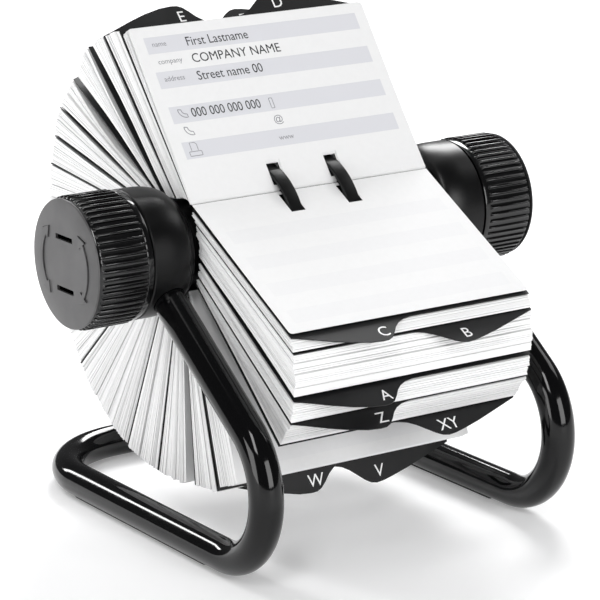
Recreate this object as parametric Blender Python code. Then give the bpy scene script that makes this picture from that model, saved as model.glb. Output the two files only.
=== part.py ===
"""Rotary card file: index cards and lettered dividers hooked on a two-ring wheel,
turned by a ribbed knob at each end and carried by a stand bent from one tube.

Frame: X along the axle, +Y to the back, +Z up, metres. The origin is on the floor,
under the centre of the object's bounding box.
"""
from math import acos, ceil, cos, pi, radians, sin, tan

import bmesh
import bpy
from mathutils import Vector

# --- driving dimensions -------------------------------------------------------------
AXLE_HEIGHT = 0.1083          # axle centre above the floor
AXLE_Y = -0.0066              # axle centre behind the middle of the footprint
GAP = 0.0003                  # clearance between pieces that touch

TUBE_RADIUS = 0.0063
TUBE_BORE = 0.0051            # inner radius of the frame tube
SIDE_X = 0.0646               # middle plane of each side of the frame
ARM_TOP = (0.0024, 0.0)       # the arm's centreline passes here, (y, z) from the axle
ARM_FOOT = (-0.141, -0.1014)  # where the arm and floor runs would meet, (y, z)
CROSSBAR_Y = 0.089            # centreline of the rear crossbar, behind the axle
FRONT_BEND = 0.028
REAR_BEND = 0.037
ARM_CUT = 0.0115              # the tube stops this far from the axle, in its socket
TUBE_SIDES = 14
FRONT_BEND_STEPS = 10
REAR_BEND_STEPS = 6

GLIDE_FRONT = -0.042          # floor glide, from and to along Y, from the axle
GLIDE_BACK = 0.053
GLIDE_HALF_WIDTH = 0.0020
GLIDE_CHAMFER = 0.0003
GLIDE_CLASP = 17              # degrees either side of straight down
GLIDE_STEPS = 3               # facets of the hollow, either side of straight down

# The bearing housing's section, as (x, radius): from the axle bore over the collar
# beside the knob, and in over the dome to the flange at its inner end.
HOUSING_PROFILE = (
    (0.0732, 0.0066), (0.0732, 0.0240), (0.0665, 0.0240), (0.0630, 0.0237),
    (0.0600, 0.0231), (0.0580, 0.0223), (0.0567, 0.0212), (0.0563, 0.0205),
    (0.0548, 0.0200), (0.0540, 0.0192), (0.0540, 0.0066),
)
SOCKET_DEPTH = 0.030          # the cutter for the tube's socket runs on this far

AXLE_RADIUS = 0.004
AXLE_END = 0.083
TAP_RADIUS = 0.0019           # hole for the knob screw in each end of the axle
TAP_DEPTH = 0.010
BUSH_RADIUS = 0.006
BUSH_BORE = 0.0041
BUSH_START = 0.0540           # the bush runs from here to BUSH_END in its housing
BUSH_END = 0.0734

DRUM_RADIUS = 0.0165
DRUM_BORE = 0.0043
DRUM_WALL = 0.0016
DRUM_END = 0.052

RING_X = 0.0127               # middle of each card ring
RIM_RADIUS = 0.0270
RIM_DEPTH = 0.0013
RIM_HALF_WIDTH = 0.0028
RIM_CHAMFER = 0.0005
WEB_HALF_WIDTH = 0.001

KNOB_RADIUS = 0.0246          # over the ribs
RIB_DEPTH = 0.0009
RIB_COUNT = 56
KNOB_INNER = 0.0737           # the knob's edge next to the housing
COLLAR_END = 0.0760
KNOB_OUTER = 0.0957
COLLAR_RADIUS = 0.0240
KNOB_CHAMFER = 0.0007
KNOB_RECESS = 0.0183          # radius of the recess behind the disc
KNOB_FLOOR = 0.0850           # the recess floor, where the screw head sits
BACK_RECESS = (0.0075, 0.0212)  # inner and outer radius of the ring cut in the back
BACK_FLOOR = 0.0820
SCREW_START = 0.0760          # tip of the knob screw
SCREW_RADIUS = 0.0016
SCREW_HOLE = 0.0022
SCREW_HEAD = 0.0040           # radius of the head
SCREW_HEAD_HEIGHT = 0.0026
WASHER_START = 0.0735         # the friction washer runs from here to WASHER_END
WASHER_END = 0.0816
WASHER_RADII = (0.0080, 0.0110)
DISC_RADIUS = 0.02387
DISC_FACE = 0.09705
DISC_CHAMFER = 0.0005
SPIGOT_END = 0.0930           # how far the disc's ring reaches into the knob
SPIGOT_WALL = 0.0015
SLOT_LENGTH = 0.012
SLOT_WIDTH = 0.0019
SLOT_OFFSET = 0.0096

CARD_WIDTH = 0.104
CARD_HEIGHT = 0.072
CARD_THICKNESS = 0.00025
DIVIDER_THICKNESS = 0.0004
HOOK_NECK = 0.0014            # half-width of the slot's neck, round a ring's web
HOOK_START = 0.0015           # the window starts this far from the card's lower edge
HOOK_END = 0.0116
HOOK_HALF_WIDTH = 0.0031
HOOK_CORNER = 0.0008
TAB_HEIGHT = 0.0096
PACK_STEP = 13                # widest turn in degrees between two sections of a pack

ROUND = 32                    # segments round the housings and the drum
WIDE_ROUND = 36               # segments round the rings and the discs
SMALL_ROUND = 24              # segments round the axle, the bores and the small rings
SCREW_ROUND = 16
SMOOTH_BELOW = 35             # edges that turn less than this, in degrees, are smooth
CUTTER_OVERRUN = 0.005        # how far a cutter starts outside the piece it cuts

# Where a card sits on the wheel: the direction it points in (degrees: 0 front, 90 up,
# 180 back), how far its plane passes from the axle, and how far from there along the
# card its lower edge lies.
CONTACT_CARD = (126.7, -0.02262, 0.00726)
FACING_CARD = (331.6, 0.02314, 0.00430)

# The register, in the order in which the wheel brings it up: letters, side of the
# tab, and the place on the wheel as above.
REGISTER = (
    ("D", "right", (130.0, -0.0219, 0.0076)),
    ("E", "left", (133.1, -0.0150, 0.0119)),
    ("F", "right", (137.6, -0.0096, 0.0152)),
    ("G", "left", (150.8, -0.0108, 0.0146)),
    ("H", "right", (160.7, -0.0100, 0.0179)),
    ("IJ", "left", (168.1, -0.0087, 0.0182)),
    ("KL", "right", (174.5, -0.0068, 0.0195)),
    ("M", "left", (190.0, -0.0050, 0.0205)),
    ("NO", "right", (206.0, -0.0035, 0.0213)),
    ("PQ", "left", (221.8, -0.0023, 0.0220)),
    ("R", "right", (245.6, 0.0019, 0.0211)),
    ("S", "left", (256.5, 0.0071, 0.0185)),
    ("TU", "inner", (274.0, 0.0065, 0.0170)),
    ("V", "right", (284.9, 0.0051, 0.0189)),
    ("W", "inner", (285.2, 0.0062, 0.0173)),
    ("XY", "right", (318.4, 0.0026, 0.0192)),
    ("Z", "left", (325.8, 0.0035, 0.0195)),
    ("A", "left", (328.0, 0.0087, 0.0169)),
    ("B", "right", (331.5, 0.0183, 0.0093)),
    ("C", "left", (332.3, 0.0215, 0.0056)),
)
NO_CARDS_AFTER = ("V",)       # this divider lies straight against the next one
# The pile has sagged away from the next divider here, and the last card lies in this place.
LOOSE_END = {"W": (295.0, 0.0055, 0.0180)}

SIDES = (("left", -1), ("right", 1))

# Colour, roughness and metallic value of each kind of surface.
GLOSS_BLACK = ((0.010, 0.010, 0.011), 0.16, 0.0)
SATIN_BLACK = ((0.014, 0.014, 0.015), 0.42, 0.0)
DISC_GREY = ((0.055, 0.055, 0.058), 0.38, 0.0)
MATT_RUBBER = ((0.020, 0.020, 0.020), 0.80, 0.0)
STEEL = ((0.56, 0.57, 0.58), 0.30, 1.0)
NYLON = ((0.62, 0.60, 0.55), 0.50, 0.0)
CARD_WHITE = ((0.86, 0.86, 0.85), 0.60, 0.0)
DIVIDER_BLACK = ((0.020, 0.020, 0.022), 0.45, 0.0)


# --- helpers ------------------------------------------------------------------------
def clear_scene():
    for existing in list(bpy.data.objects):
        bpy.data.objects.remove(existing, do_unlink=True)


def empty(name, location, parent=None):
    marker = bpy.data.objects.new(name, None)
    marker.empty_display_size = 0.01
    marker.location = location
    marker.parent = parent
    bpy.context.collection.objects.link(marker)
    return marker


def surface(name, look):
    colour, roughness, metallic = look
    material = bpy.data.materials.new(name)
    material.use_nodes = True
    shader = material.node_tree.nodes["Principled BSDF"]
    shader.inputs["Base Color"].default_value = (*colour, 1.0)
    shader.inputs["Roughness"].default_value = roughness
    shader.inputs["Metallic"].default_value = metallic
    return material


def piece(name, shape, parent, look=None, smooth_below=None):
    """Turn a bmesh into a named object under its parent, with its own material."""
    bmesh.ops.recalc_face_normals(shape, faces=shape.faces)
    mesh = bpy.data.meshes.new(name)
    shape.to_mesh(mesh)
    shape.free()
    if smooth_below is not None:
        mesh.shade_smooth()
        mesh.set_sharp_from_angle(angle=radians(smooth_below))
    made = bpy.data.objects.new(name, mesh)
    made.parent = parent
    bpy.context.collection.objects.link(made)
    if look is not None:
        mesh.materials.append(surface(name, look))
    return made


def cut(target, cutters):
    """Take each cutter's shape out of the target."""
    for number, cutter in enumerate(cutters):
        cutter.hide_render = True
        cutter.display_type = "WIRE"
        boolean = target.modifiers.new("cut_" + str(number), "BOOLEAN")
        boolean.operation = "DIFFERENCE"
        boolean.solver = "EXACT"
        boolean.object = cutter


def join_loops(shape, loops, cyclic):
    """Skin a run of equally long vertex loops; a loop of one vertex is a pole."""
    pairs = list(zip(loops, loops[1:] + loops[:1]))
    for first, second in pairs if cyclic else pairs[:-1]:
        count = max(len(first), len(second))
        for i in range(count):
            j = (i + 1) % count
            if len(first) == 1 and len(second) > 1:
                shape.faces.new((first[0], second[j], second[i]))
            elif len(second) == 1 and len(first) > 1:
                shape.faces.new((first[i], first[j], second[0]))
            elif len(first) > 1:
                shape.faces.new((first[i], first[j], second[j], second[i]))


def turned(profile, segments):
    """A solid of revolution about X. The profile is a closed run of (x, radius)."""
    shape = bmesh.new()
    loops = []
    for x, radius in profile:
        if radius == 0:
            loops.append([shape.verts.new((x, 0, 0))])
            continue
        turns = [2 * pi * k / segments for k in range(segments)]
        loops.append([shape.verts.new((x, radius * cos(a), radius * sin(a))) for a in turns])
    join_loops(shape, loops, cyclic=True)
    return shape


def flipped(profile, side):
    """Send a profile drawn for the right-hand side to the given side."""
    return [(side * x, radius) for x, radius in profile]


def lofted(loops_of_points):
    """A solid skinned over sections of equally many points, closed by flat ends."""
    shape = bmesh.new()
    loops = [[shape.verts.new(point) for point in points] for points in loops_of_points]
    join_loops(shape, loops, cyclic=False)
    shape.faces.new(loops[0])
    shape.faces.new(loops[-1])
    return shape


# --- stand --------------------------------------------------------------------------
def arc_points(centre, start, end, turn, steps):
    """Points of a bend from start to end about centre, both ends included."""
    first = start - centre
    last = end - centre
    points = []
    for k in range(steps + 1):
        share = k / steps
        weight_a = sin((1 - share) * turn) / sin(turn)
        weight_b = sin(share * turn) / sin(turn)
        points.append(centre + first * weight_a + last * weight_b)
    return points


def frame_side(side):
    """Centreline of one side of the frame, from its housing to the rear crossbar."""
    x = side * SIDE_X
    top = Vector((x, *ARM_TOP))
    foot = Vector((x, *ARM_FOOT))
    arm = (top - foot).normalized()
    back = Vector((0, 1, 0))
    inside = acos(arm.dot(back))
    reach = FRONT_BEND / tan(inside / 2)
    front_centre = foot + back * reach + Vector((0, 0, FRONT_BEND))
    front = arc_points(
        front_centre, foot + arm * reach, foot + back * reach, pi - inside, FRONT_BEND_STEPS
    )

    corner = Vector((x, CROSSBAR_Y, ARM_FOOT[1]))
    across = Vector((-side, 0, 0))
    rear_centre = corner - back * REAR_BEND + across * REAR_BEND
    rear = arc_points(
        rear_centre, corner - back * REAR_BEND, corner + across * REAR_BEND, pi / 2,
        REAR_BEND_STEPS,
    )
    return [top - arm * ARM_CUT] + front + rear


def build_frame(parent):
    path = frame_side(-1) + frame_side(1)[::-1]
    tangents = []
    for i in range(len(path)):
        before = path[max(i - 1, 0)]
        after = path[min(i + 1, len(path) - 1)]
        tangents.append((after - before).normalized())
    across = Vector((1, 0, 0))
    shape = bmesh.new()
    outer = []
    inner = []
    for i, (centre, tangent) in enumerate(zip(path, tangents)):
        if i:
            across.rotate(tangents[i - 1].rotation_difference(tangent))
        over = tangent.cross(across)
        spokes = []
        for k in range(TUBE_SIDES):
            turn = 2 * pi * k / TUBE_SIDES
            spokes.append(across * cos(turn) + over * sin(turn))
        outer.append([shape.verts.new(centre + TUBE_RADIUS * spoke) for spoke in spokes])
        inner.append([shape.verts.new(centre + TUBE_BORE * spoke) for spoke in spokes])
    join_loops(shape, outer + inner[::-1], cyclic=True)
    return piece("tube_frame", shape, parent, GLOSS_BLACK, smooth_below=SMOOTH_BELOW)


def build_glides(parent):
    """Strips under the floor runs, hollowed on top to clasp the tube."""
    tube_z = ARM_FOOT[1]
    floor_z = -AXLE_HEIGHT
    hug = TUBE_RADIUS + GAP
    section = [
        (-GLIDE_HALF_WIDTH + GLIDE_CHAMFER, floor_z),
        (GLIDE_HALF_WIDTH - GLIDE_CHAMFER, floor_z),
        (GLIDE_HALF_WIDTH, floor_z + GLIDE_CHAMFER),
    ]
    for k in range(2 * GLIDE_STEPS + 1):
        lean = radians(GLIDE_CLASP * (1 - k / GLIDE_STEPS))
        section.append((hug * sin(lean), tube_z - hug * cos(lean)))
    section.append((-GLIDE_HALF_WIDTH, floor_z + GLIDE_CHAMFER))
    for name, side in SIDES:
        ends = []
        for y in (GLIDE_FRONT, GLIDE_BACK):
            ends.append([(side * SIDE_X + x, y, z) for x, z in section])
        piece(name + "_floor_glide", lofted(ends), parent, MATT_RUBBER)


def build_housing(name, side, parent):
    housing = piece(
        name + "_bearing_housing",
        turned(flipped(HOUSING_PROFILE, side), ROUND),
        parent,
        SATIN_BLACK,
        smooth_below=SMOOTH_BELOW,
    )
    arm = (Vector((0, *ARM_TOP)) - Vector((0, *ARM_FOOT))).normalized()
    socket_radius = (TUBE_RADIUS + GAP) / cos(pi / SMALL_ROUND)
    near = Vector((side * SIDE_X, *ARM_TOP)) - arm * (ARM_CUT - GAP)
    far = near - arm * SOCKET_DEPTH
    loops = []
    for centre in (near, far):
        over = arm.cross(Vector((1, 0, 0)))
        loop = []
        for k in range(SMALL_ROUND):
            turn = 2 * pi * k / SMALL_ROUND
            spoke = Vector((1, 0, 0)) * cos(turn) + over * sin(turn)
            loop.append(centre + spoke * socket_radius)
        loops.append(loop)
    cut(housing, [piece(name + "_socket_cutter", lofted(loops), parent)])

    bush = (
        (BUSH_START, BUSH_BORE), (BUSH_END, BUSH_BORE),
        (BUSH_END, BUSH_RADIUS), (BUSH_START, BUSH_RADIUS),
    )
    piece(
        name + "_axle_bush", turned(flipped(bush, side), SMALL_ROUND), parent, NYLON,
        smooth_below=SMOOTH_BELOW,
    )


# --- wheel --------------------------------------------------------------------------
def build_axle(parent):
    profile = []
    for side in (-1, 1):
        half = [
            (side * (AXLE_END - TAP_DEPTH), 0),
            (side * (AXLE_END - TAP_DEPTH), TAP_RADIUS),
            (side * AXLE_END, TAP_RADIUS),
            (side * AXLE_END, AXLE_RADIUS),
        ]
        profile += half if side < 0 else half[::-1]
    piece("axle", turned(profile, SMALL_ROUND), parent, STEEL, smooth_below=SMOOTH_BELOW)


def build_drum(parent):
    inner_end = DRUM_END - DRUM_WALL
    inner_radius = DRUM_RADIUS - DRUM_WALL
    profile = (
        (-DRUM_END, DRUM_BORE), (-DRUM_END, DRUM_RADIUS),
        (DRUM_END, DRUM_RADIUS), (DRUM_END, DRUM_BORE),
        (inner_end, DRUM_BORE), (inner_end, inner_radius),
        (-inner_end, inner_radius), (-inner_end, DRUM_BORE),
    )
    piece("core_drum", turned(profile, ROUND), parent, SATIN_BLACK, smooth_below=SMOOTH_BELOW)


def build_ring(name, side, parent):
    """A card ring: a wide rim on a narrow web, so that it is T-shaped in section."""
    bore = DRUM_RADIUS + GAP
    under_rim = RIM_RADIUS - RIM_DEPTH
    profile = [
        (-WEB_HALF_WIDTH, bore), (-WEB_HALF_WIDTH, under_rim),
        (-RIM_HALF_WIDTH, under_rim), (-RIM_HALF_WIDTH, RIM_RADIUS - RIM_CHAMFER),
        (-RIM_HALF_WIDTH + RIM_CHAMFER, RIM_RADIUS), (RIM_HALF_WIDTH - RIM_CHAMFER, RIM_RADIUS),
        (RIM_HALF_WIDTH, RIM_RADIUS - RIM_CHAMFER), (RIM_HALF_WIDTH, under_rim),
        (WEB_HALF_WIDTH, under_rim), (WEB_HALF_WIDTH, bore),
    ]
    placed = [(side * RING_X + x, radius) for x, radius in profile]
    piece(
        name + "_card_ring", turned(placed, WIDE_ROUND), parent, SATIN_BLACK,
        smooth_below=SMOOTH_BELOW,
    )


def ribbed_loop(x, peak, valley):
    points = []
    for k in range(2 * RIB_COUNT):
        turn = pi * k / RIB_COUNT
        radius = valley if k % 2 else peak
        points.append((x, radius * cos(turn), radius * sin(turn)))
    return points


def build_knob(name, side, parent):
    valley = KNOB_RADIUS - RIB_DEPTH
    sections = (
        (KNOB_INNER, COLLAR_RADIUS - KNOB_CHAMFER / 2, COLLAR_RADIUS - KNOB_CHAMFER / 2),
        (KNOB_INNER + KNOB_CHAMFER / 2, COLLAR_RADIUS, COLLAR_RADIUS),
        (COLLAR_END, COLLAR_RADIUS, COLLAR_RADIUS),
        (COLLAR_END + KNOB_CHAMFER, KNOB_RADIUS, valley),
        (KNOB_OUTER - KNOB_CHAMFER, KNOB_RADIUS, valley),
        (KNOB_OUTER, KNOB_RADIUS - KNOB_CHAMFER, valley - KNOB_CHAMFER / 2),
    )
    loops = [ribbed_loop(side * x, peak, low) for x, peak, low in sections]
    knob = piece(name + "_knob", lofted(loops), parent, GLOSS_BLACK)

    past_face = KNOB_OUTER + CUTTER_OVERRUN
    past_back = KNOB_INNER - CUTTER_OVERRUN
    inner, outer = BACK_RECESS
    front_recess = (
        (KNOB_FLOOR, 0), (KNOB_FLOOR, KNOB_RECESS), (past_face, KNOB_RECESS), (past_face, 0),
    )
    back_recess = (
        (past_back, inner), (past_back, outer), (BACK_FLOOR, outer), (BACK_FLOOR, inner),
    )
    axle_bore = (
        (past_back, 0), (past_back, AXLE_RADIUS + GAP),
        (AXLE_END + GAP, AXLE_RADIUS + GAP), (AXLE_END + GAP, SCREW_HOLE),
        (KNOB_FLOOR + GAP, SCREW_HOLE), (KNOB_FLOOR + GAP, 0),
    )
    cutters = []
    for label, profile in (
        ("_recess_cutter", front_recess), ("_back_cutter", back_recess), ("_bore_cutter", axle_bore)
    ):
        cutters.append(piece(name + label, turned(flipped(profile, side), SMALL_ROUND), parent))
    cut(knob, cutters)

    under_head = KNOB_FLOOR + GAP
    head_top = KNOB_FLOOR + SCREW_HEAD_HEIGHT
    screw = (
        (SCREW_START, 0), (SCREW_START, SCREW_RADIUS), (under_head, SCREW_RADIUS),
        (under_head, SCREW_HEAD), (head_top - 0.3 * SCREW_HEAD_HEIGHT, 0.95 * SCREW_HEAD),
        (head_top, 0.65 * SCREW_HEAD), (head_top, 0),
    )
    piece(
        name + "_knob_screw", turned(flipped(screw, side), SCREW_ROUND), parent, STEEL,
        smooth_below=SMOOTH_BELOW,
    )

    inner, outer = WASHER_RADII
    washer = (
        (WASHER_START, inner), (WASHER_END, inner), (WASHER_END, outer), (WASHER_START, outer),
    )
    piece(
        name + "_friction_washer", turned(flipped(washer, side), SMALL_ROUND), parent,
        MATT_RUBBER, smooth_below=SMOOTH_BELOW,
    )


def build_disc(name, side, parent):
    """End disc: a plate with a spigot ring that plugs into the knob, and two slots."""
    plate_back = KNOB_OUTER + GAP
    spigot = KNOB_RECESS - GAP
    spigot_bore = spigot - SPIGOT_WALL
    profile = (
        (DISC_FACE, 0), (DISC_FACE, DISC_RADIUS - DISC_CHAMFER),
        (DISC_FACE - DISC_CHAMFER, DISC_RADIUS), (plate_back, DISC_RADIUS),
        (plate_back, spigot), (SPIGOT_END, spigot),
        (SPIGOT_END, spigot_bore), (plate_back, spigot_bore), (plate_back, 0),
    )
    disc = piece(
        name + "_knob_disc", turned(flipped(profile, side), WIDE_ROUND), parent, DISC_GREY,
        smooth_below=SMOOTH_BELOW,
    )
    cutters = []
    for label, height in (("_upper", SLOT_OFFSET), ("_lower", -SLOT_OFFSET)):
        ends = []
        for x in (side * (DISC_FACE - CUTTER_OVERRUN), side * (DISC_FACE + CUTTER_OVERRUN)):
            corners = ((-1, -1), (1, -1), (1, 1), (-1, 1))
            ends.append([
                (x, j * SLOT_LENGTH / 2, height + k * SLOT_WIDTH / 2) for j, k in corners
            ])
        cutters.append(piece(name + label + "_slot_cutter", lofted(ends), parent))
    cut(disc, cutters)


# --- cards --------------------------------------------------------------------------
def direction(degrees):
    """Unit vector square to the axle: 0 points to the front, 90 up, 180 to the back."""
    return Vector((0, -cos(radians(degrees)), sin(radians(degrees))))


def on_card(place, x, along, lift=0.0):
    """The point x across and along up a card, lifted square off its middle plane."""
    angle, offset, edge = place
    point = direction(angle) * (edge + along) + direction(angle + 90) * (offset + lift)
    return Vector((x, point.y, point.z))


def hook_slot(centre):
    """Outline of one T-shaped slot, entered from the card's lower edge."""
    neck = HOOK_NECK
    wide = HOOK_HALF_WIDTH
    narrow = HOOK_HALF_WIDTH - HOOK_CORNER
    half = ((neck, 0), (neck, HOOK_START), (wide, HOOK_START), (wide, HOOK_END - HOOK_CORNER),
            (narrow, HOOK_END))
    left = [(centre - x, along) for x, along in half]
    right = [(centre + x, along) for x, along in half[::-1]]
    return left + right


def lower_edge():
    return [(-CARD_WIDTH / 2, 0)] + hook_slot(-RING_X) + hook_slot(RING_X) + [(CARD_WIDTH / 2, 0)]


def card_outline():
    return lower_edge() + [(CARD_WIDTH / 2, CARD_HEIGHT), (-CARD_WIDTH / 2, CARD_HEIGHT)]


# A tab's outline: share of the card's width from the left, share of the tab's height.
LEFT_TAB = ((1.0, 0), (0.490, 0), (0.435, 0.20), (0.400, 0.45), (0.375, 0.76), (0.350, 0.96),
            (0.320, 1.0), (0.270, 0.95), (0.130, 0.52), (0.0, 0))
RIGHT_TAB = ((1.0, 0), (0.920, 0.27), (0.810, 0.66), (0.700, 0.95), (0.665, 1.0),
             (0.635, 0.93), (0.600, 0.68), (0.560, 0.33), (0.530, 0.10), (0.500, 0), (0.0, 0))


# An inner tab is a left one moved towards the middle of the divider by this share.
INNER_SHIFT = 0.055
INNER_TAB = (
    (LEFT_TAB[0],) + tuple((share + INNER_SHIFT, rise) for share, rise in LEFT_TAB[1:])
    + (LEFT_TAB[-1],)
)
TABS = {"left": LEFT_TAB, "inner": INNER_TAB, "right": RIGHT_TAB}


def divider_outline(tab_side):
    top = []
    for share, rise in TABS[tab_side]:
        top.append((CARD_WIDTH * (share - 0.5), CARD_HEIGHT + TAB_HEIGHT * rise))
    return lower_edge() + top


def sheet(outline, place, thickness):
    """One flat card or divider."""
    faces = []
    for lift in (-thickness / 2, thickness / 2):
        faces.append([on_card(place, x, along, lift) for x, along in outline])
    return lofted(faces)


def moved(place, shift):
    angle, offset, edge = place
    return (angle, offset + shift, edge)


def blend(first, second, share):
    return tuple(a + (b - a) * share for a, b in zip(first, second))


def pack(first, second):
    """The cards between two dividers, as one block that fans open between them."""
    clear = DIVIDER_THICKNESS / 2 + GAP
    first = moved(first, clear)
    second = moved(second, -clear)
    steps = max(1, ceil((second[0] - first[0]) / PACK_STEP))
    outline = card_outline()
    sections = []
    for k in range(steps + 1):
        place = blend(first, second, k / steps)
        sections.append([on_card(place, x, along) for x, along in outline])
    return lofted(sections)


def build_cards(wheel):
    for letters, tab_side, place in REGISTER:
        shape = sheet(divider_outline(tab_side), place, DIVIDER_THICKNESS)
        piece("divider_" + letters, shape, wheel, DIVIDER_BLACK)
    for (letters, _, place), (_, _, next_place) in zip(REGISTER, REGISTER[1:]):
        if letters not in NO_CARDS_AFTER:
            block = pack(place, LOOSE_END.get(letters, next_place))
            piece("cards_" + letters, block, wheel, CARD_WHITE)
    piece("facing_card", sheet(card_outline(), FACING_CARD, CARD_THICKNESS), wheel, CARD_WHITE)
    behind_contact = moved(CONTACT_CARD, CARD_THICKNESS / 2 - DIVIDER_THICKNESS / 2)
    piece("cards_C", pack(behind_contact, REGISTER[0][2]), wheel, CARD_WHITE)


def build_contact_card(wheel):
    """The open card, which turns about its lower edge."""
    fold = on_card(CONTACT_CARD, 0, 0)
    hinge = empty("flip_axis", fold, wheel)
    at_fold = (CONTACT_CARD[0], 0.0, 0.0)
    piece("contact_card", sheet(card_outline(), at_fold, CARD_THICKNESS), hinge, CARD_WHITE)


def main():
    clear_scene()
    centre = (0, AXLE_Y, AXLE_HEIGHT)
    stand = empty("stand_centre", centre)
    wheel = empty("wheel_axis", centre)
    build_frame(stand)
    build_glides(stand)
    build_axle(wheel)
    build_drum(wheel)
    for name, side in SIDES:
        build_housing(name, side, stand)
        build_ring(name, side, wheel)
        build_knob(name, side, wheel)
        build_disc(name, side, wheel)
    build_cards(wheel)
    build_contact_card(wheel)


main()
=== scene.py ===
import random
from math import acos, cos, pi, radians, sin, sqrt, tan

import bmesh
import bpy
import numpy as np
from mathutils import Matrix, Vector


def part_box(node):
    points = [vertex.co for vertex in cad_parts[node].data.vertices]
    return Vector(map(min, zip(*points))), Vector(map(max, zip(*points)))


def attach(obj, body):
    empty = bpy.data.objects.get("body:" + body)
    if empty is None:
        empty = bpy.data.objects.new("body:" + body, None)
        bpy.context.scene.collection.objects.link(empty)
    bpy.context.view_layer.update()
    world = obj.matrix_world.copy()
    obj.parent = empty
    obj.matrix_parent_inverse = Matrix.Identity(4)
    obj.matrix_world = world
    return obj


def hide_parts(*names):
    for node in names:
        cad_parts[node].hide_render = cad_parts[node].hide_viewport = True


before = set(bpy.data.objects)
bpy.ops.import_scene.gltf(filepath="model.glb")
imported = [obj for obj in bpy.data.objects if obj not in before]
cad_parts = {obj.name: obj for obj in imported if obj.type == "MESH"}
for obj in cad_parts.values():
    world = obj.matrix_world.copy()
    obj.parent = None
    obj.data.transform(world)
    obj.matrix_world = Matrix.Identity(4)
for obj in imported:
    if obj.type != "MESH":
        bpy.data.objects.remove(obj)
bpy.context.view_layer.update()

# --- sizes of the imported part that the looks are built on, in metres ------------------
AXLE_HEIGHT = 0.1083
AXLE_Y = -0.0066
AXLE = Vector((0, AXLE_Y, AXLE_HEIGHT))
GAP = 0.0003

TUBE_RADIUS = 0.0063
TUBE_WALL = 0.0012
SIDE_X = 0.0646               # middle plane of each side of the frame
ARM_TOP = (0.0024, 0.0)       # the arm's centreline passes here, (y, z) from the axle
ARM_FOOT = (-0.141, -0.1014)  # where the arm and floor runs would meet, (y, z)
CROSSBAR_Y = 0.089
FRONT_BEND = 0.028
REAR_BEND = 0.037
ARM_CUT = 0.0115              # the tube stops this far from the axle, in its socket
SOCKET_DEPTH = 0.030
SOCKET_PLAY = 0.00025

GLIDE_HALF_WIDTH = 0.0020
GLIDE_CLASP = 17              # degrees that the glide reaches up the tube on each side
GLIDE_EDGE = 0.0003           # how far the glide's long edges are cut back
GLIDE_PLAY = 0.0001

HOUSING_BORE = 0.0066
HOUSING_INNER = 0.0540        # the housing runs along the axle from here to HOUSING_OUTER
HOUSING_OUTER = 0.0732
HOUSING_RADIUS = 0.0240
DOME_CENTRE = (0.0670, 0.0206)  # (x, radius) of the middle of the dome's quarter oval
DOME_REACH = (0.0106, 0.0034)
DOME_TURN = 78                # degrees of the oval that the dome follows

DRUM_RADIUS = 0.0165
DRUM_BORE = 0.0043
DRUM_WALL = 0.0016
DRUM_END = 0.052
RING_X = 0.0127               # middle of each card ring
RIM_RADIUS = 0.0270
RIM_DEPTH = 0.0013
RIM_HALF_WIDTH = 0.0028
WEB_HALF_WIDTH = 0.001
SOFT_EDGE = 0.0005            # rounding of the rims, the drum's ends and the disc's edge
BURR = 0.0002                 # the small break on the rims' inner edges

KNOB_RADIUS = 0.0246          # over the ribs
RIB_DEPTH = 0.0010
RIB_COUNT = 56
KNOB_INNER = 0.0737
COLLAR_END = 0.0760
KNOB_OUTER = 0.0957
COLLAR_RADIUS = 0.0240
KNOB_RECESS = 0.0183          # radius of the recess behind the disc
KNOB_FLOOR = 0.0850           # the recess floor, where the screw head sits
BACK_RECESS = (0.0075, 0.0212)
BACK_FLOOR = 0.0820
AXLE_HOLE = 0.0043
AXLE_HOLE_END = 0.0833
SCREW_HOLE = 0.0022

DISC_RADIUS = 0.02387
DISC_FACE = 0.09705
DISC_FLAT = 0.0150            # the face is flat this far out, then falls away a little
DISC_CROWN = 0.0005
SPIGOT_END = 0.0930
SPIGOT_WALL = 0.0015
SLOT_LENGTH = 0.012
SLOT_WIDTH = 0.0019
SLOT_OFFSET = 0.0096
SLOT_CORNER = 0.0004
ARROW_HEIGHT = 0.0005         # how far the turning arrows stand over the disc
ARROW_RADIUS = 0.0163
ARROW_HALF_WIDTH = 0.0009
ARROW_HEAD_HALF_WIDTH = 0.0025
ARROW_START = -50             # degrees from the front at which the first arrow begins
ARROW_TURN = 100
ARROW_HEAD_TURN = 15
ARROW_BASE = 0.0002           # how deep the arrows are set into the face
# The arrows' black rim is painted shade, standing for the shadow along their raised edges.
ARROW_SHADE_RIM_HEIGHT = 0.0001
ARROW_SHADE_RIM_WIDTH = 0.00022     # the dark rim round each arrow
ARROW_POINT_GAIN = 6000       # degrees that a head's point moves out per metre of widening
ARROW_BACK_GAIN = 3500        # degrees that a head's back moves in per metre of widening

CARD_WIDTH = 0.104
CARD_HEIGHT = 0.072
CARD_THICKNESS = 0.00022
CARD_CORNER = 0.0012
DIVIDER_THICKNESS = 0.0004
HOOK_NECK = 0.0014            # half-width of the slot's neck, round a ring's web
HOOK_START = 0.0015           # the window starts this far from the card's lower edge
HOOK_END = 0.0116
HOOK_HALF_WIDTH = 0.0031
HOOK_CORNER = 0.0008
TAB_HEIGHT = 0.0096
PACK_CLEARANCE = 0.0004       # from a divider's middle to the nearest card
CONTACT_BOW = -0.0006         # how far the contact card's upper edge bows off its plane
CONTACT_TOP = 0.0709          # its upper edge, measured straight, once it is bowed
PRINT_DROP = 0.0010           # how far the print near its top slides down
FACING_BOW = 0.0004

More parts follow.
